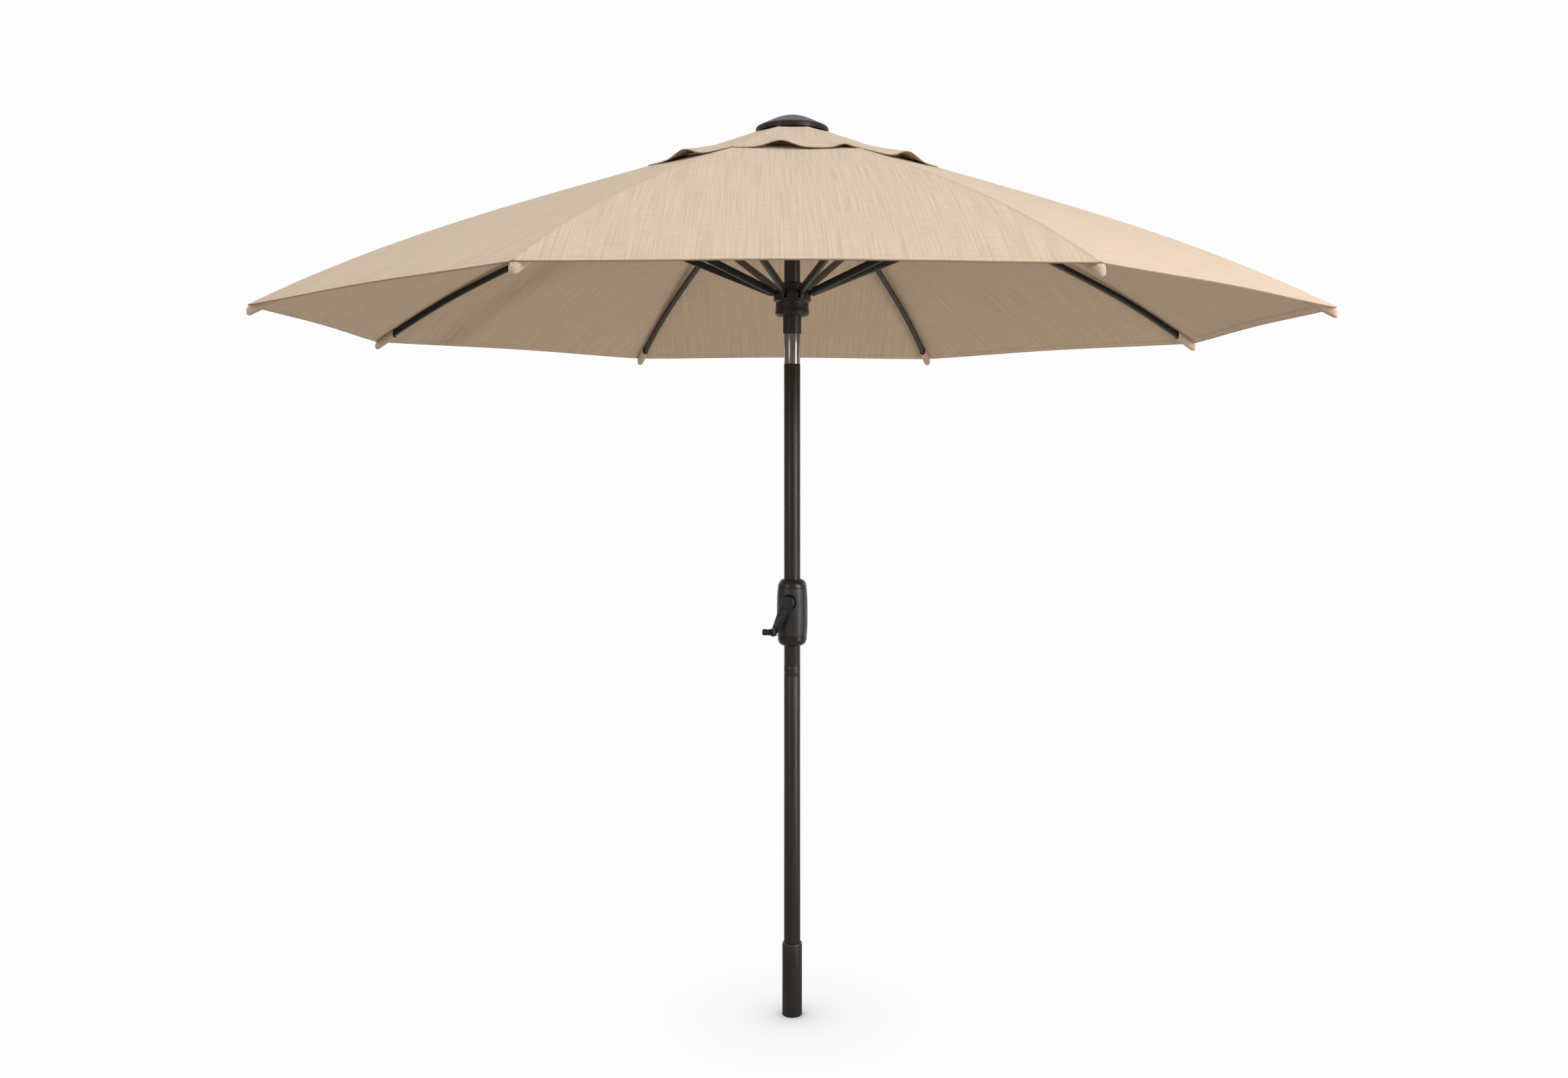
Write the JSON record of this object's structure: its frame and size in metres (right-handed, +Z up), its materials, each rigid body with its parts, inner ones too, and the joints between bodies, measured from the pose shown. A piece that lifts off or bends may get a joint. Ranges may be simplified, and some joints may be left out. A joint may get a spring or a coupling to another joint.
{
  "type": "patio umbrella",
  "caption": "Eight-rib crank-lift market umbrella on a centre pole, with a vented octagonal fabric canopy and no base; it folds down round the pole.",
  "frame": {"origin": "mast axis at the bottom of the foot, on the floor", "axes": "+Z up along the mast; -Y towards the middle of the front canopy panel; +X to the right seen from the front"},
  "size_m": [2.7402, 2.7402, 2.637],
  "materials": {
    "pole_bronze": "dark bronze powder coat, satin",
    "frame_bronze": "dark bronze powder coat, satin",
    "polished_tube": "polished",
    "joiner_tube": "mill finish",
    "steel": "zinc plated",
    "black_plastic": "moulded, matt",
    "housing_plastic": "moulded, satin charcoal",
    "canopy_fabric": "woven, heathered sand"
  },
  "bodies": {
    "root": {"foot_sleeve": "pole_bronze", "foot_plug": "black_plastic", "lower_pole": "pole_bronze", "pole_joiner": "pole_bronze", "upper_pole": "pole_bronze", "polished_mast_section": "polished_tube", "mast_joiner": "joiner_tube", "mast_top_tube": "pole_bronze", "crank_housing": "housing_plastic", "housing_top_cap": "housing_plastic", "housing_bottom_cap": "housing_plastic", "crank_bearing": "black_plastic", "crown_hub": "black_plastic", "crown_wire_ring": "steel", "top_pulley": "black_plastic", "pulley_pin": "steel", "finial_stud": "steel", "finial_cap": "black_plastic"},
    "crank": {"crank_shaft": "steel", "cord_spool": "black_plastic", "crank_arm": "black_plastic", "crank_boss_cap": "black_plastic", "knob_hinge_pin": "steel"},
    "knob_carrier": {"knob_stem": "black_plastic"},
    "knob": {"knob_grip": "black_plastic"},
    "runner": {"runner_body": "black_plastic", "runner_wire_ring": "steel", "runner_sleeve": "black_plastic"},
    "rib_arm_1": {"rib_1": "frame_bronze", "canopy_panel_1": "canopy_fabric", "vent_flap_1": "canopy_fabric"},
    "strut_arm_1": {"strut_1": "frame_bronze"},
    "rib_arm_2": {"rib_2": "frame_bronze", "canopy_panel_2": "canopy_fabric", "vent_flap_2": "canopy_fabric"},
    "strut_arm_2": {"strut_2": "frame_bronze"},
    "rib_arm_3": {"rib_3": "frame_bronze", "canopy_panel_3": "canopy_fabric", "vent_flap_3": "canopy_fabric"},
    "strut_arm_3": {"strut_3": "frame_bronze"},
    "rib_arm_4": {"rib_4": "frame_bronze", "canopy_panel_4": "canopy_fabric", "vent_flap_4": "canopy_fabric"},
    "strut_arm_4": {"strut_4": "frame_bronze"},
    "rib_arm_5": {"rib_5": "frame_bronze", "canopy_panel_5": "canopy_fabric", "vent_flap_5": "canopy_fabric"},
    "strut_arm_5": {"strut_5": "frame_bronze"},
    "rib_arm_6": {"rib_6": "frame_bronze", "canopy_panel_6": "canopy_fabric", "vent_flap_6": "canopy_fabric"},
    "strut_arm_6": {"strut_6": "frame_bronze"},
    "rib_arm_7": {"rib_7": "frame_bronze", "canopy_panel_7": "canopy_fabric", "vent_flap_7": "canopy_fabric"},
    "strut_arm_7": {"strut_7": "frame_bronze"},
    "rib_arm_8": {"rib_8": "frame_bronze", "canopy_panel_8": "canopy_fabric", "vent_flap_8": "canopy_fabric"},
    "strut_arm_8": {"strut_8": "frame_bronze"}
  },
  "joints": [
    {"name": "canopy_fold", "type": "hinge", "parent": "root", "child": "rib_arm_1", "pos_m": [0.01913, -0.04619, 2.555], "axis": [0.9239, 0.3827, 0], "range_deg": [0, 64.01], "deforming": ["canopy_panel_1", "vent_flap_1"]},
    {"name": "strut_fold_1", "type": "hinge", "parent": "rib_arm_1", "child": "strut_arm_1", "pos_m": [0.2237, -0.54006, 2.33364], "axis": [0.9239, 0.3827, 0], "range_deg": [-128.03, 0]},
    {"name": "rib_fold_2", "type": "hinge", "parent": "root", "child": "rib_arm_2", "pos_m": [0.04619, -0.01913, 2.555], "axis": [0.3827, 0.9239, 0], "range_deg": [0, 64.02], "deforming": ["canopy_panel_2", "vent_flap_2"]},
    {"name": "strut_fold_2", "type": "hinge", "parent": "rib_arm_2", "child": "strut_arm_2", "pos_m": [0.54006, -0.2237, 2.33364], "axis": [0.3827, 0.9239, 0], "range_deg": [-128.03, 0]},
    {"name": "rib_fold_3", "type": "hinge", "parent": "root", "child": "rib_arm_3", "pos_m": [0.04619, 0.01913, 2.555], "axis": [-0.3827, 0.9239, 0], "range_deg": [0, 64.02], "deforming": ["canopy_panel_3", "vent_flap_3"]},
    {"name": "strut_fold_3", "type": "hinge", "parent": "rib_arm_3", "child": "strut_arm_3", "pos_m": [0.54006, 0.2237, 2.33364], "axis": [-0.3827, 0.9239, 0], "range_deg": [-128.03, 0]},
    {"name": "rib_fold_4", "type": "hinge", "parent": "root", "child": "rib_arm_4", "pos_m": [0.01913, 0.04619, 2.555], "axis": [-0.9239, 0.3827, 0], "range_deg": [0, 64.02], "deforming": ["canopy_panel_4", "vent_flap_4"]},
    {"name": "strut_fold_4", "type": "hinge", "parent": "rib_arm_4", "child": "strut_arm_4", "pos_m": [0.2237, 0.54006, 2.33364], "axis": [-0.9239, 0.3827, 0], "range_deg": [-128.03, 0]},
    {"name": "rib_fold_5", "type": "hinge", "parent": "root", "child": "rib_arm_5", "pos_m": [-0.01913, 0.04619, 2.555], "axis": [-0.9239, -0.3827, 0], "range_deg": [0, 64.02], "deforming": ["canopy_panel_5", "vent_flap_5"]},
    {"name": "strut_fold_5", "type": "hinge", "parent": "rib_arm_5", "child": "strut_arm_5", "pos_m": [-0.2237, 0.54006, 2.33364], "axis": [-0.9239, -0.3827, 0], "range_deg": [-128.03, 0]},
    {"name": "rib_fold_6", "type": "hinge", "parent": "root", "child": "rib_arm_6", "pos_m": [-0.04619, 0.01913, 2.555], "axis": [-0.3827, -0.9239, 0], "range_deg": [0, 64.02], "deforming": ["canopy_panel_6", "vent_flap_6"]},
    {"name": "strut_fold_6", "type": "hinge", "parent": "rib_arm_6", "child": "strut_arm_6", "pos_m": [-0.54006, 0.2237, 2.33364], "axis": [-0.3827, -0.9239, 0], "range_deg": [-128.03, 0]},
    {"name": "rib_fold_7", "type": "hinge", "parent": "root", "child": "rib_arm_7", "pos_m": [-0.04619, -0.01913, 2.555], "axis": [0.3827, -0.9239, 0], "range_deg": [0, 64.02], "deforming": ["canopy_panel_7", "vent_flap_7"]},
    {"name": "strut_fold_7", "type": "hinge", "parent": "rib_arm_7", "child": "strut_arm_7", "pos_m": [-0.54006, -0.2237, 2.33364], "axis": [0.3827, -0.9239, 0], "range_deg": [-128.03, 0]},
    {"name": "rib_fold_8", "type": "hinge", "parent": "root", "child": "rib_arm_8", "pos_m": [-0.01913, -0.04619, 2.555], "axis": [0.9239, -0.3827, 0], "range_deg": [0, 64.02], "deforming": ["canopy_panel_8", "vent_flap_8"]},
    {"name": "strut_fold_8", "type": "hinge", "parent": "rib_arm_8", "child": "strut_arm_8", "pos_m": [-0.2237, -0.54006, 2.33364], "axis": [0.9239, -0.3827, 0], "range_deg": [-128.03, 0]},
    {"name": "runner_lift", "type": "hinge", "parent": "strut_arm_1", "child": "runner", "pos_m": [0.01913, -0.04619, 2.11227], "axis": [0.9239, 0.3827, 0], "range_deg": [0, 64.02]},
    {"name": "crank_turn", "type": "hinge", "parent": "root", "child": "crank", "pos_m": [-0.01401, -0.05834, 1.2135], "axis": [-0.2334, -0.9724, 0], "range_deg": [0, 3241]},
    {"name": "knob_fold", "type": "hinge", "parent": "crank", "child": "knob_carrier", "pos_m": [-0.05632, -0.06443, 1.12831], "axis": [0, 0, 1], "range_deg": [0, 90]},
    {"name": "knob_spin", "type": "hinge", "parent": "knob_carrier", "child": "knob", "pos_m": [-0.05632, -0.06443, 1.12831], "axis": [-0.9724, 0.2334, 0], "continuous": true}
  ],
  "couplings": [
    {"joint": "strut_fold_1", "follows": "canopy_fold", "ratio": -2},
    {"joint": "rib_fold_2", "follows": "canopy_fold", "ratio": 1},
    {"joint": "strut_fold_2", "follows": "canopy_fold", "ratio": -2},
    {"joint": "rib_fold_3", "follows": "canopy_fold", "ratio": 1},
    {"joint": "strut_fold_3", "follows": "canopy_fold", "ratio": -2},
    {"joint": "rib_fold_4", "follows": "canopy_fold", "ratio": 1},
    {"joint": "strut_fold_4", "follows": "canopy_fold", "ratio": -2},
    {"joint": "rib_fold_5", "follows": "canopy_fold", "ratio": 1},
    {"joint": "strut_fold_5", "follows": "canopy_fold", "ratio": -2},
    {"joint": "rib_fold_6", "follows": "canopy_fold", "ratio": 1},
    {"joint": "strut_fold_6", "follows": "canopy_fold", "ratio": -2},
    {"joint": "rib_fold_7", "follows": "canopy_fold", "ratio": 1},
    {"joint": "strut_fold_7", "follows": "canopy_fold", "ratio": -2},
    {"joint": "rib_fold_8", "follows": "canopy_fold", "ratio": 1},
    {"joint": "strut_fold_8", "follows": "canopy_fold", "ratio": -2},
    {"joint": "runner_lift", "follows": "canopy_fold", "ratio": 1},
    {"joint": "crank_turn", "follows": "canopy_fold", "ratio": 50.621}
  ]
}
